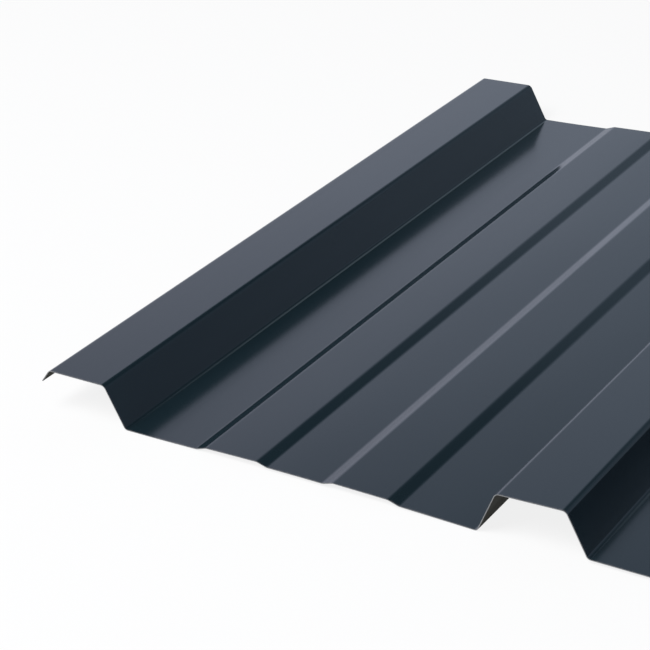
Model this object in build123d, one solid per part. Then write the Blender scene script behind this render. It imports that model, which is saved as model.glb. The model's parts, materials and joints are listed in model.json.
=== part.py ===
from build123d import *
import os
from math import radians, tan

# A roll-formed steel sheet with flat-topped ribs. X runs across the ribs, Y along them and Z up.
# The origin is the middle of the covered width, on the underside of the pans.

# Driving sizes, in millimetres and degrees. The section's sizes are taken at mid-thickness.
sheet_length = 580
sheet_thickness = 0.6
cover_width = 1000
pitch_count = 3
rib_depth = 28.4
crown_width = 45
web_angle = 65
shoulder_radius = 4
foot_radius = 3
stiffener_height = 2.3
stiffener_top_width = 39.5
stiffener_run = 7.4
stiffener_spacing = 95.8
stiffener_shift = 2.7
stiffener_radius = 8
lip_length = 12
lip_angle = 51
leg_drop = 20
lap_clearance = 0.2

# The most of a flat that the bend at either end of it may use up.
bend_share = 0.45

# Sizes that follow from the driving ones.
rib_pitch = cover_width / pitch_count
pan_level = sheet_thickness / 2
lap_outset = sheet_thickness + lap_clearance


def rib_corners(centre, outset):
    """Left foot, two shoulders and right foot of a rib that is larger all round by outset."""
    crown_height = rib_depth + outset
    shoulder_half = crown_width / 2 + outset * tan(radians(web_angle / 2))
    foot_half = shoulder_half + crown_height / tan(radians(web_angle))
    crown_level = pan_level + crown_height
    return [
        Vector(centre - foot_half, pan_level),
        Vector(centre - shoulder_half, crown_level),
        Vector(centre + shoulder_half, crown_level),
        Vector(centre + foot_half, pan_level),
    ]


def over_lap_corners(centre):
    """The first rib, which closes over the sheet before it and ends in a short lip."""
    _, shoulder, *others = rib_corners(centre, lap_outset)
    lip_end = shoulder + Vector(-lip_length, 0).rotate(Axis.Z, lip_angle)
    return [lip_end, shoulder, *others]


def under_lap_corners(centre):
    """The last rib, which fits inside the next sheet's first rib and ends in a free leg."""
    *others, shoulder, foot = rib_corners(centre, 0)
    leg_share = leg_drop / (shoulder.Y - foot.Y)
    leg_end = shoulder + (foot - shoulder) * leg_share
    return [*others, shoulder, leg_end]


def stiffener_corners(centre):
    """Two feet and the two top corners of one low stiffener, left to right."""
    top_half = stiffener_top_width / 2
    foot_half = top_half + stiffener_run
    top_level = pan_level + stiffener_height
    return [
        Vector(centre - foot_half, pan_level),
        Vector(centre - top_half, top_level),
        Vector(centre + top_half, top_level),
        Vector(centre + foot_half, pan_level),
    ]


def sheet_corners():
    """Every corner of the section from the lip to the leg, each with the radius asked of its bend."""
    first_rib = -cover_width / 2
    rib_radii = (foot_radius, shoulder_radius, shoulder_radius, foot_radius)
    corners = []
    for number in range(pitch_count + 1):
        rib_centre = first_rib + number * rib_pitch
        if number == 0:
            rib = over_lap_corners(rib_centre)
        elif number == pitch_count:
            rib = under_lap_corners(rib_centre)
        else:
            rib = rib_corners(rib_centre, 0)
        corners += zip(rib, rib_radii)
        if number < pitch_count:
            pair_centre = rib_centre + rib_pitch / 2 + stiffener_shift
            for side in (-1, 1):
                stiffener = stiffener_corners(pair_centre + side * stiffener_spacing / 2)
                corners += [(place, stiffener_radius) for place in stiffener]
    return corners


def fitted_radius(before, corner, after, wanted):
    """The radius asked for, or the largest one that the flats beside the bend have room for."""
    turn = (corner - before).get_angle(after - corner)
    room = bend_share * min((corner - before).length, (after - corner).length)
    return min(wanted, room / tan(radians(turn / 2)))


def sheet_section():
    """The bent strip seen from its near end, with concentric bends inside and out."""
    corners = sheet_corners()
    places = [place for place, _ in corners]
    radii = [
        fitted_radius(places[i - 1], places[i], places[i + 1], corners[i][1])
        for i in range(1, len(corners) - 1)
    ]
    with BuildSketch(Plane.XZ) as section:
        with BuildLine():
            FilletPolyline(*places, radius=radii)
        trace(line_width=sheet_thickness)
    return section.sketch


def profiled_sheet():
    """The whole sheet, the same section from end to end."""
    return extrude(sheet_section(), amount=sheet_length / 2, both=True)


os.makedirs("parts", exist_ok=True)
export_step(profiled_sheet(), "parts/profiled_sheet.step")
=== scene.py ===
import json
from math import atan2, cos, pi, radians, sin, tan

import bpy
import numpy as np
from mathutils import Matrix, Vector


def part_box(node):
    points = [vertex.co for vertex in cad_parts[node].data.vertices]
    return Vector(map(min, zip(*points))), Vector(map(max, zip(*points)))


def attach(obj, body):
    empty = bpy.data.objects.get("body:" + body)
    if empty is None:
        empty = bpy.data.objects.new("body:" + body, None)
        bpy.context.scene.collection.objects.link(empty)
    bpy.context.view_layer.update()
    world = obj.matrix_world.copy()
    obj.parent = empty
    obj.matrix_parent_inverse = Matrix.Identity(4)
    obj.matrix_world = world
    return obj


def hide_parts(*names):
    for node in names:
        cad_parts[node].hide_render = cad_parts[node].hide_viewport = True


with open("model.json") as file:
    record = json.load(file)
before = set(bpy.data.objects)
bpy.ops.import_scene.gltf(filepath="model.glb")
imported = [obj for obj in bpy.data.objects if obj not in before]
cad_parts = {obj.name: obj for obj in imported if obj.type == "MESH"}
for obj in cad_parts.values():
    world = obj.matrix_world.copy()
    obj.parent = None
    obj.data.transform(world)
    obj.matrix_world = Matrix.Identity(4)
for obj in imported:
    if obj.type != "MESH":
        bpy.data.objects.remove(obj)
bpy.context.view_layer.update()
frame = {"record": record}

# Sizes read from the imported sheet, in metres. X runs across the ribs, Y along them and Z up.
sheet_low, sheet_high = (Vector(corner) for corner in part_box("profiled_sheet"))
mounts = {mount["name"]: Vector(mount["pos_m"]) for mount in frame["record"]["mounts"]}
sheet_length = sheet_high.y - sheet_low.y
first_rib = mounts["over_lap"].x
cover_width = mounts["under_lap"].x - first_rib
rib_height = mounts["crown_top"].z - sheet_low.z

# The section's own sizes, as in the part's source, in metres and radians.
sheet_thickness = 0.0006
pitch_count = 3
crown_width = 0.045
web_angle = radians(65)
shoulder_radius = 0.004
foot_radius = 0.003
stiffener_height = 0.0023
stiffener_top_width = 0.0395
stiffener_run = 0.0074
stiffener_spacing = 0.0958
stiffener_shift = 0.0027
stiffener_radius = 0.008
lip_length = 0.012
lip_angle = radians(51)
leg_drop = 0.020
lap_clearance = 0.0002

# Sizes that follow from those above.
rib_pitch = cover_width / pitch_count
rib_depth = rib_height - sheet_thickness
pan_level = sheet_low.z + sheet_thickness / 2
lap_outset = sheet_thickness + lap_clearance
foot_half = crown_width / 2 + rib_depth / tan(web_angle)
pan_half = rib_pitch / 2 - foot_half

# How finely the sheet is divided: steps round each bend, and the usual step along a flat and along a rib.
bend_steps = 10
flat_step = 0.008
length_step = 0.012

# How a real sheet springs after rolling: the inner ribs lean a little to the left, and the pans rise in the
# middle and wave slowly along their length. The turn share is how far each pan's wave is out of step.
rib_lean_share = 0.03
pan_rise = 0.0020
pan_wave = 0.00012
wave_length = 0.31
wave_turn_share = 0.33

# How far in from a cut the coat is scuffed.
scuff_width = 0.0015

# The pale line painted along each foot of a rib, a painted highlight that stands in for the bend's
# reflection: its width, how far its middle lies inside the end of the foot's bend, the length over which it
# starts, and the steps across its part on the pan.
painted_highlight_width = 0.0026
painted_highlight_inset = 0.0002
painted_highlight_start_length = 0.21
painted_highlight_steps = 4

# The sheet's faces fall into six groups: the top and the underside, which are skins, then the near and far
# ends, and last the lip and leg sides. Each group has a material and a half of the map, and each end and side
# has a rim in that half.
skin_groups = 2
end_groups = 2
group_materials = (0, 1, 2, 2, 2, 2)
group_halves = (0, 1, 0, 0, 1, 1)
group_rims = (0, 0, 0, 1, 0, 1)

# How each half of the map is filled, by one skin and two narrow rims beyond it.
map_skin_share = 0.48
map_rim_share = 0.006
map_gap_share = 0.003

# The weather coat: the tones it drifts between, the tone of its painted highlight line along the rib feet,
# the tone of its scuffs, the tint of its shine and its range of roughness. Sizes of marks are along X, Y and
# Z, in metres.
coat_tones = (0.0092, 0.0196, 0.0262), (0.0106, 0.0218, 0.0290)
coat_painted_highlight_tone = (0.056, 0.077, 0.090)
coat_scuff_tone = (0.055, 0.060, 0.066)
coat_shine_tint = (0.84, 0.87, 1.0, 1)
coat_roughness = (0.15, 0.175)
coat_mottle_size = (0.09, 0.16, 0.09)
coat_streak_size = (0.004, 0.5, 0.02)
coat_chip_size = (0.003, 0.003, 0.003)
coat_chip_shares = (0.42, 0.62)
coat_grain_size = (0.0013, 0.0013, 0.0013)
coat_grain_depth = 0.000004

# The backing coat of the underside, its tones darkened by painted shade that stands in for the shade inside
# the ribs.
backing_tones_and_painted_shade = (0.019, 0.020, 0.015), (0.029, 0.030, 0.023)
backing_roughness = (0.62, 0.78)
backing_shine_share = 0.06
backing_mottle_size = (0.02, 0.12, 0.02)
backing_grain_size = (0.0011, 0.0011, 0.0011)
backing_grain_depth = 0.000008

# The bare steel of the cut edges.
cut_tones = (0.17, 0.175, 0.18), (0.33, 0.335, 0.34)
cut_roughness = (0.35, 0.55)
cut_metal_share = 0.8
cut_shear_size = (0.0005, 0.0005, 0.003)
cut_shear_depth = 0.00002

# Where nearly all the values of a noise lie.
noise_shares = (0.3, 0.7)

# The sockets of a colour mix, by number because they share their names with others.
mix_colour_sockets = (6, 7)
mix_result_socket = 2

# The camera, where the photograph was taken from: its place, its three angles and its lens in millimetres.
camera_place = Vector((0.3005, -1.1260, 0.6434))
camera_heading = radians(35.60)
camera_dip = radians(27.26)
camera_roll = radians(-4.82)
camera_lens = 110.69

# The light: a dim room with a pale wall all round it, brightest low down behind the sheet and to its left,
# and a soft lamp high up in front. Pairs of shares go from low to high, front to back or left to right.
room_level = 0.02
wall_level = 1.26
wall_heading = radians(40)
wall_side_shares = (-0.05, 0.60)
wall_left_colour = (0.84, 0.85, 1.0)
wall_right_colour = (0.66, 0.83, 1.0)
wall_right_share = 0.43
wall_front_shares = (0.55, 0.25)
wall_back_shares = (0.45, 0.78)
wall_foot_shares = (0.03, 0.09)
wall_fade_shares = (0.40, 0.66)
wall_top_share = 0.45
wall_edge_shares = (0.59, 0.68)
lamp_place = Vector((-1.35, -1.5, 2.7))
lamp_size = 2.0
lamp_level = 8.5

# The floor, and how far the camera and reflections see it as plain white.
floor_size = 60
floor_colour = (0.9, 0.9, 0.9, 1)
floor_white_share = 0.85


def rib_corners(centre, outset):
    """Left foot, two shoulders and right foot of a rib that is larger all round by outset."""
    crown_height = rib_depth + outset
    shoulder_half = crown_width / 2 + outset * tan(web_angle / 2)
    base_half = shoulder_half + crown_height / tan(web_angle)
    crown_level = pan_level + crown_height
    return [
        Vector((centre - base_half, pan_level)),
        Vector((centre - shoulder_half, crown_level)),
        Vector((centre + shoulder_half, crown_level)),
        Vector((centre + base_half, pan_level)),
    ]


def over_lap_corners(centre):
    """The first rib, which closes over the sheet before it and ends in a short lip."""
    _, shoulder, *others = rib_corners(centre, lap_outset)
    lip_end = shoulder - lip_length * Vector((cos(lip_angle), sin(lip_angle)))
    return [lip_end, shoulder, *others]


def under_lap_corners(centre):
    """The last rib, which ends in a free leg."""
    *others, shoulder, foot = rib_corners(centre, 0)
    leg_share = leg_drop / (shoulder.y - foot.y)
    return [*others, shoulder, shoulder.lerp(foot, leg_share)]


def stiffener_corners(centre):
    """Two feet and the two top corners of one low stiffener, left to right."""
    top_half = stiffener_top_width / 2
    base_half = top_half + stiffener_run
    top_level = pan_level + stiffener_height
    return [
        Vector((centre - base_half, pan_level)),
        Vector((centre - top_half, top_level)),
        Vector((centre + top_half, top_level)),
        Vector((centre + base_half, pan_level)),
    ]


def sheet_corners():
    """Every corner of the section from lip to leg, with its bend's radius and whether it is a rib's foot."""
    rib_radii = (foot_radius, shoulder_radius, shoulder_radius, foot_radius)
    rib_feet = (True, False, False, True)
    corners = []
    for number in range(pitch_count + 1):
        rib_centre = first_rib + number * rib_pitch
        if number == 0:
            rib = over_lap_corners(rib_centre)
        elif number == pitch_count:
            rib = under_lap_corners(rib_centre)
        else:
            rib = rib_corners(rib_centre, 0)
        corners += zip(rib, rib_radii, rib_feet)
        if number < pitch_count:
            pair_centre = rib_centre + rib_pitch / 2 + stiffener_shift
            for side in (-1, 1):
                stiffener = stiffener_corners(pair_centre + side * stiffener_spacing / 2)
                corners += [(place, stiffener_radius, False) for place in stiffener]
    return corners


def painted_highlight_strength(distance):
    """How strong the painted highlight is, at a distance out on the pan from the end of a foot's bend."""
    across = (distance + painted_highlight_inset) / painted_highlight_width
    return cos(pi * min(max(across, -1 / 2), 1 / 2))


def painted_highlight_points(end, outward):
    """The part of a painted highlight line that lies on the flat of the pan, from the end of the bend
    outward.
    """
    reach = painted_highlight_width / 2 - painted_highlight_inset
    points = []
    for step in range(1, painted_highlight_steps + 1):
        distance = reach * step / painted_highlight_steps
        points.append((end + Vector((outward * distance, 0)), 0.0, painted_highlight_strength(distance)))
    return points


def bend_points(before, corner, after, radius, is_foot):
    """Points round one bend at mid-thickness, each with its heading and how strong the painted highlight is
    there.
    """
    heading_in = atan2(corner.y - before.y, corner.x - before.x)
    heading_out = atan2(after.y - corner.y, after.x - corner.x)
    turn = heading_out - heading_in
    side = 1 if turn > 0 else -1
    start = corner - radius * tan(abs(turn) / 2) * Vector((cos(heading_in), sin(heading_in)))
    centre = start + side * radius * Vector((-sin(heading_in), cos(heading_in)))
    points = []
    for step in range(bend_steps + 1):
        heading = heading_in + step / bend_steps * turn
        place = centre - side * radius * Vector((-sin(heading), cos(heading)))
        # Painted highlight: a pale line on the foot's bend that stands in for the bend's reflection.
        painted_highlight = painted_highlight_strength(-radius * abs(heading)) if is_foot else 0.0
        points.append((place, heading, painted_highlight))
    if not is_foot:
        return points
    if abs(heading_in) < abs(heading_out):
        return painted_highlight_points(points[0][0], -1)[::-1] + points
    return points + painted_highlight_points(points[-1][0], 1)


def end_points(end, inner, heading):
    """The free end of the section and the point where the scuffed strip beside it stops, outermost first."""
    inward = (inner - end).normalized()
    return [(end, heading, 0.0), (end + scuff_width * inward, heading, 0.0)]


def section_points():
    """The whole section at mid-thickness, bends and flats, as places, headings and painted highlight shares.
    """
    corners = sheet_corners()
    places = [place for place, _, _ in corners]
    bends = [
        bend_points(places[i - 1], places[i], places[i + 1], *corners[i][1:])
        for i in range(1, len(corners) - 1)
    ]
    first_end = end_points(places[0], places[1], bends[0][0][1])
    last_end = end_points(places[-1], places[-2], bends[-1][-1][1])
    points = first_end
    for run in [*bends, last_end[::-1]]:
        start, heading, _ = points[-1]
        end, _, _ = run[0]
        steps = max(1, round((end - start).length / flat_step))
        points += [(start.lerp(end, step / steps), heading, 0.0) for step in range(1, steps)]
        points += run
    return points


def sheet_lengths():
    """Places along the sheet: its two ends, and even steps between the scuffed strips beside them."""
    steps = round(sheet_length / length_step)
    inner = np.linspace(sheet_low.y + scuff_width, sheet_high.y - scuff_width, steps)
    return np.array([sheet_low.y, *inner, sheet_high.y])


def pan_spring(x, y):
    """How far the pans rise: level at the left foot and in the middle, and falling to the right foot."""
    pan = np.clip(np.floor((x - first_rib) / rib_pitch), 0, pitch_count - 1)
    across = (x - first_rib - (pan + 1 / 2) * rib_pitch) / pan_half
    across = np.clip(across, -1, 1)
    window = np.where(across < 0, np.cos(pi / 2 * across) ** 2, 1 - across ** 2)
    along = y / wave_length + pan * wave_turn_share
    wave = np.sin(2 * pi * along) * np.cos(pi * across + pan)
    return window * (pan_rise + pan_wave * wave)


def rib_spring(x):
    """How far the leaning inner ribs rise, from left foot to right, with the pan beyond settling again."""
    rib = np.floor((x - first_rib + foot_half) / rib_pitch)
    past_foot = x - first_rib - rib * rib_pitch + foot_half
    settled = np.clip((past_foot - 2 * foot_half) / pan_half, 0, 1)
    lean = rib_lean_share * np.minimum(past_foot, 2 * foot_half) * np.cos(pi / 2 * settled) ** 2
    is_inner = (rib > 0) & (rib < pitch_count)
    return np.where(is_inner, lean, 0)


def sprung_height(x, y):
    """How far the sheet stands above its ideal shape, over arrays of places."""
    return pan_spring(x, y) + rib_spring(x)


def spring_sheet(places, normals):
    """Moves places up by sprung_height, and turns their normals by its slope."""
    x, y = places[..., 0], places[..., 1]
    nudge = sheet_thickness
    slope_x = (sprung_height(x + nudge, y) - sprung_height(x - nudge, y)) / (2 * nudge)
    slope_y = (sprung_height(x, y + nudge) - sprung_height(x, y - nudge)) / (2 * nudge)
    places[..., 2] += sprung_height(x, y)
    normals[..., 0] -= normals[..., 2] * slope_x
    normals[..., 1] -= normals[..., 2] * slope_y
    normals /= np.linalg.norm(normals, axis=-1, keepdims=True)


def sheet_layers(middle, heading, lengths):
    """Places and normals of the top and the underside, by layer, length and section point."""
    upward = np.stack([-np.sin(heading), np.cos(heading)], axis=-1)
    places = np.zeros((2, len(lengths), len(middle), 3))
    normals = np.zeros_like(places)
    for layer, side in ((0, 1), (1, -1)):
        line = middle + side * sheet_thickness / 2 * upward
        places[layer, :, :, 0] = line[:, 0]
        places[layer, :, :, 1] = lengths[:, None]
        places[layer, :, :, 2] = line[:, 1]
        normals[layer, :, :, 0] = side * upward[:, 0]
        normals[layer, :, :, 2] = side * upward[:, 1]
    spring_sheet(places, normals)
    return places, normals


def strip_faces(rows, columns):
    """Corner numbers of the six groups of faces, over two layers of points in rows and columns."""
    numbers = np.arange(2 * rows * columns).reshape(2, rows, columns)

    def rings(first, second, third, fourth):
        return np.stack([first, second, third, fourth], axis=-1).reshape(-1, 4)

    def skin(layer):
        return rings(layer[:-1, :-1], layer[:-1, 1:], layer[1:, 1:], layer[1:, :-1])

    def rim(over, below):
        return rings(over[:-1], below[:-1], below[1:], over[1:])

    over, below = numbers
    return [
        skin(over),
        skin(below)[:, ::-1],
        rim(over[0], below[0]),
        rim(over[-1], below[-1])[:, ::-1],
        rim(over[:, 0], below[:, 0])[:, ::-1],
        rim(over[:, -1], below[:, -1]),
    ]


def set_normals(mesh, normals, corner, group):
    """Shades the two skins smoothly by the given normals, and the four rims flat."""
    flat = np.zeros(3 * len(mesh.polygons))
    mesh.polygons.foreach_get("normal", flat)
    flat = flat.reshape(-1, 3).repeat(4, axis=0)
    smooth = normals.reshape(-1, 3)[corner]
    is_skin = group < skin_groups
    mesh.normals_split_custom_set(np.where(is_skin[:, None], smooth, flat).tolist())


def set_map(mesh, middle, lengths, corner, group):
    """Maps the unrolled sheet: a skin and two rims in each half of the map."""
    run = np.linalg.norm(np.diff(middle, axis=0), axis=1)
    along = np.concatenate([[0], np.cumsum(run)]) / run.sum()
    lengthwise = (lengths - sheet_low.y) / sheet_length
    layer, rest = np.divmod(corner, len(lengths) * len(middle))
    row, column = np.divmod(rest, len(middle))
    is_skin = group < skin_groups
    is_side = group >= skin_groups + end_groups
    half = np.array(group_halves)[group]
    rim = np.array(group_rims)[group]
    rim_bottom = map_skin_share + map_gap_share / 2 + rim * (map_rim_share + map_gap_share)
    u = np.where(is_side, lengthwise[row], along[column])
    v = np.where(is_skin, lengthwise[row] * map_skin_share, rim_bottom + layer * map_rim_share) + half / 2
    unrolled = np.stack([u, v], axis=-1).reshape(-1).astype(np.float32)
    mesh.uv_layers.new(name="OFBake").uv.foreach_set("vector", unrolled)


def set_marks(mesh, painted_highlight, lengths):
    """Gives each point how strong the painted highlight is there, and whether it lies on a scuffed edge."""
    painted_highlight_start = np.clip((lengths - sheet_low.y) / painted_highlight_start_length, 0, 1)
    # Painted highlight along each rib's foot, fading in from the near end.
    painted_highlight_mark = np.tile(np.outer(painted_highlight_start, painted_highlight), (2, 1, 1))
    scuff = np.zeros_like(painted_highlight_mark)
    scuff[:, [0, -1], :] = 1
    scuff[:, :, [0, -1]] = 1
    for name, values in (("painted_highlight_mark", painted_highlight_mark), ("scuff", scuff)):
        attribute = mesh.attributes.new(name, "FLOAT", "POINT")
        attribute.data.foreach_set("value", values.reshape(-1).astype(np.float32))


def make_sheet(coat, backing, bare):
    """The sheet as one mesh: weather coat on top, backing coat underneath and bare cut edges."""
    points = section_points()
    middle = np.array([place for place, _, _ in points])
    heading = np.array([heading for _, heading, _ in points])
    painted_highlight = np.array([share for _, _, share in points])
    lengths = sheet_lengths()
    places, normals = sheet_layers(middle, heading, lengths)
    groups = strip_faces(len(lengths), len(middle))
    counts = [len(group) for group in groups]
    faces = np.concatenate(groups)

    mesh = bpy.data.meshes.new("coated_sheet")
    mesh.from_pydata(places.reshape(-1, 3).tolist(), [], faces.tolist())
    mesh.update()
    for material in (coat, backing, bare):
        mesh.materials.append(material)
    slots = np.repeat(group_materials, counts).astype(np.int32)
    mesh.polygons.foreach_set("material_index", slots)
    mesh.polygons.foreach_set("use_smooth", np.ones(len(slots), dtype=bool))
    corner = faces.reshape(-1)
    group = np.repeat(np.arange(len(groups)), counts).repeat(4)
    set_normals(mesh, normals, corner, group)
    set_map(mesh, middle, lengths, corner, group)
    set_marks(mesh, painted_highlight, lengths)

    sheet = bpy.data.objects.new("coated_sheet", mesh)
    bpy.context.scene.collection.objects.link(sheet)
    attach(sheet, "root")
    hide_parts("profiled_sheet")


def add_node(tree, kind, inputs=None, **settings):
    """One node, with its settings and the values or links of its inputs."""
    node = tree.nodes.new(kind)
    for name, value in settings.items():
        setattr(node, name, value)
    for name, value in (inputs or {}).items():
        if isinstance(value, bpy.types.NodeSocket):
            tree.links.new(value, node.inputs[name])
        else:
            node.inputs[name].default_value = value
    return node


def new_material(name):
    """A new material with its shader, and the surface's own coordinates in metres."""
    material = bpy.data.materials.new(name)
    material.use_nodes = True
    tree = material.node_tree
    shader = tree.nodes["Principled BSDF"]
    coordinates = add_node(tree, "ShaderNodeTexCoord").outputs["Object"]
    return material, tree, shader, coordinates


def stretched_noise(tree, coordinates, sizes, detail):
    """Noise whose marks are about the given sizes along X, Y and Z, in metres."""
    scale = tuple(1 / size for size in sizes)
    mapping = add_node(tree, "ShaderNodeMapping", {"Vector": coordinates, "Scale": scale})
    settings = {"Vector": mapping.outputs["Vector"], "Scale": 1, "Detail": detail}
    return add_node(tree, "ShaderNodeTexNoise", settings).outputs["Fac"]


def spread(tree, value, low, high, start, end, kind="LINEAR"):
    """A value's range from start to end, spread over low to high."""
    limits = {"From Min": start, "From Max": end, "To Min": low, "To Max": high}
    node = add_node(tree, "ShaderNodeMapRange", {"Value": value, **limits}, interpolation_type=kind)
    return node.outputs["Result"]


def spread_noise(tree, noise, low=0, high=1):
    """A noise spread over low to high."""
    return spread(tree, noise, low, high, *noise_shares)


def product(tree, first, second):
    """Two values multiplied."""
    node = add_node(tree, "ShaderNodeMath", {0: first, 1: second}, operation="MULTIPLY")
    return node.outputs["Value"]


def larger(tree, first, second):
    """The larger of two values."""
    node = add_node(tree, "ShaderNodeMath", {0: first, 1: second}, operation="MAXIMUM")
    return node.outputs["Value"]


def mark(tree, name):
    """A value that the mesh carries at each point."""
    return add_node(tree, "ShaderNodeAttribute", attribute_name=name).outputs["Fac"]


def blend_colours(tree, share, first, second):
    """A colour between first and second, by share."""
    node = add_node(tree, "ShaderNodeMix", {"Factor": share}, data_type="RGBA")
    for number, value in zip(mix_colour_sockets, (first, second)):
        if isinstance(value, bpy.types.NodeSocket):
            tree.links.new(value, node.inputs[number])
        else:
            node.inputs[number].default_value = (*value, 1)
    return node.outputs[mix_result_socket]


def add_bump(tree, shader, height, depth):
    """Fine relief of the given depth, in metres."""
    bump = add_node(tree, "ShaderNodeBump", {"Height": height, "Strength": 1, "Distance": depth})
    tree.links.new(bump.outputs["Normal"], shader.inputs["Normal"])


def weather_coat():
    """Semi-gloss anthracite coil coating: fine grain, faint roll marks, a painted highlight line along each
    rib's foot and scuffed edges.
    """
    material, tree, shader, coordinates = new_material("weather_coat")
    mottle = stretched_noise(tree, coordinates, coat_mottle_size, detail=3)
    streak = stretched_noise(tree, coordinates, coat_streak_size, detail=2)
    chip = stretched_noise(tree, coordinates, coat_chip_size, detail=3)
    grain = stretched_noise(tree, coordinates, coat_grain_size, detail=1)
    tone = blend_colours(tree, spread_noise(tree, mottle), *coat_tones)
    # Painted highlight: the pale line along each rib's foot, standing in for the bend's reflection.
    tone = blend_colours(tree, mark(tree, "painted_highlight_mark"), tone, coat_painted_highlight_tone)
    scuffed = product(tree, mark(tree, "scuff"), spread(tree, chip, 0, 1, *coat_chip_shares))
    tone = blend_colours(tree, scuffed, tone, coat_scuff_tone)
    tree.links.new(tone, shader.inputs["Base Color"])
    tree.links.new(spread_noise(tree, streak, *coat_roughness), shader.inputs["Roughness"])
    shader.inputs["Specular Tint"].default_value = coat_shine_tint
    add_bump(tree, shader, grain, coat_grain_depth)
    return material


def backing_coat():
    """Thin backing coat of the underside, duller and less even than the weather coat, its colour darkened by
    painted shade that stands in for the shade inside the ribs.
    """
    material, tree, shader, coordinates = new_material("backing_coat")
    mottle = stretched_noise(tree, coordinates, backing_mottle_size, detail=4)
    grain = stretched_noise(tree, coordinates, backing_grain_size, detail=2)
    # The backing tones are darkened by painted shade, standing in for the shade inside the ribs.
    tone = blend_colours(tree, spread_noise(tree, mottle), *backing_tones_and_painted_shade)
    tree.links.new(tone, shader.inputs["Base Color"])
    tree.links.new(spread_noise(tree, mottle, *backing_roughness), shader.inputs["Roughness"])
    shader.inputs["Specular IOR Level"].default_value = backing_shine_share
    add_bump(tree, shader, grain, backing_grain_depth)
    return material


def cut_steel():
    """Bare galvanised steel of the sheared edges, with fine shear marks across the thickness."""
    material, tree, shader, coordinates = new_material("cut_steel")
    shear = stretched_noise(tree, coordinates, cut_shear_size, detail=3)
    tone = blend_colours(tree, spread_noise(tree, shear), *cut_tones)
    tree.links.new(tone, shader.inputs["Base Color"])
    tree.links.new(spread_noise(tree, shear, *cut_roughness), shader.inputs["Roughness"])
    shader.inputs["Metallic"].default_value = cut_metal_share
    add_bump(tree, shader, shear, cut_shear_depth)
    return material


def floor_paint():
    """White paint that the camera and reflections see nearly white, and that still takes shadows."""
    material = bpy.data.materials.new("floor_paint")
    material.use_nodes = True
    tree = material.node_tree
    tree.nodes.clear()
    paint = add_node(tree, "ShaderNodeBsdfDiffuse", {"Color": floor_colour}).outputs["BSDF"]
    white = add_node(tree, "ShaderNodeEmission", {"Color": (1, 1, 1, 1), "Strength": 1}).outputs["Emission"]
    path = add_node(tree, "ShaderNodeLightPath").outputs
    seen = path["Is Camera Ray"]
    for kind in ("Is Glossy Ray", "Is Transmission Ray"):
        seen = larger(tree, seen, path[kind])
    share = spread(tree, seen, 0, floor_white_share, 0, 1)
    mixed = add_node(tree, "ShaderNodeMixShader", {0: share, 1: paint, 2: white}).outputs["Shader"]
    add_node(tree, "ShaderNodeOutputMaterial", {"Surface": mixed})
    return material


def make_floor():
    """A plain white floor under the sheet."""
    half = floor_size / 2
    corners = [(-half, -half, 0), (half, -half, 0), (half, half, 0), (-half, half, 0)]
    mesh = bpy.data.meshes.new("floor")
    mesh.from_pydata(corners, [], [(0, 1, 2, 3)])
    mesh.materials.append(floor_paint())
    floor = bpy.data.objects.new("floor", mesh)
    bpy.context.scene.collection.objects.link(floor)


def make_world():
    """A dim room with a pale wall that ends in a soft edge at the top and, on the right only, at its foot."""
    world = bpy.data.worlds.new("studio")
    bpy.context.scene.world = world
    world.use_nodes = True
    tree = world.node_tree
    background = tree.nodes["Background"]
    direction = add_node(tree, "ShaderNodeTexCoord").outputs["Generated"]
    parts = add_node(tree, "ShaderNodeSeparateXYZ", {"Vector": direction}).outputs
    to_right = (cos(wall_heading), sin(wall_heading), 0)
    rightward = add_node(
        tree, "ShaderNodeVectorMath", {0: direction, 1: to_right}, operation="DOT_PRODUCT"
    ).outputs["Value"]

    def across(left, right):
        return spread(tree, rightward, left, right, *wall_side_shares)

    fade = spread(tree, parts["Z"], 1, wall_top_share, *wall_fade_shares)
    top_edge = spread(tree, parts["Z"], 1, 0, *wall_edge_shares, kind="SMOOTHSTEP")
    foot_edge = spread(tree, parts["Z"], 0, 1, *wall_foot_shares, kind="SMOOTHSTEP")
    foot = larger(tree, foot_edge, across(1, 0))
    side = across(1, wall_right_share)
    behind = spread(tree, parts["Y"], across(*wall_front_shares), 1, *wall_back_shares)
    upright = product(tree, product(tree, fade, top_edge), foot)
    wall = product(tree, upright, product(tree, side, behind))
    colour = blend_colours(tree, across(0, 1), wall_left_colour, wall_right_colour)
    level = spread(tree, wall, room_level, wall_level, 0, 1)
    tree.links.new(colour, background.inputs["Color"])
    tree.links.new(level, background.inputs["Strength"])


def make_lamp():
    """A large soft lamp high up in front of the sheet and to its left."""
    lamp = bpy.data.lights.new("soft_lamp", "AREA")
    lamp.shape = "SQUARE"
    lamp.size = lamp_size
    lamp.energy = lamp_level * pi * lamp_size * lamp_size
    piece = bpy.data.objects.new("soft_lamp", lamp)
    piece.location = lamp_place
    piece.rotation_euler = (-lamp_place).to_track_quat("-Z", "Y").to_euler()
    piece.visible_camera = False
    bpy.context.scene.collection.objects.link(piece)


def make_camera():
    """The camera, at the photograph's place, angle and lens."""
    lens = bpy.data.cameras.new("camera")
    lens.lens = camera_lens
    camera = bpy.data.objects.new("camera", lens)
    turn = Matrix.Rotation(camera_heading, 4, "Z")
    dip = Matrix.Rotation(pi / 2 - camera_dip, 4, "X")
    roll = Matrix.Rotation(camera_roll, 4, "Z")
    camera.matrix_world = Matrix.Translation(camera_place) @ turn @ dip @ roll
    bpy.context.scene.collection.objects.link(camera)
    bpy.context.scene.camera = camera


make_sheet(weather_coat(), backing_coat(), cut_steel())
make_floor()
make_world()
make_lamp()
make_camera()
bpy.context.scene.view_settings.view_transform = "Standard"
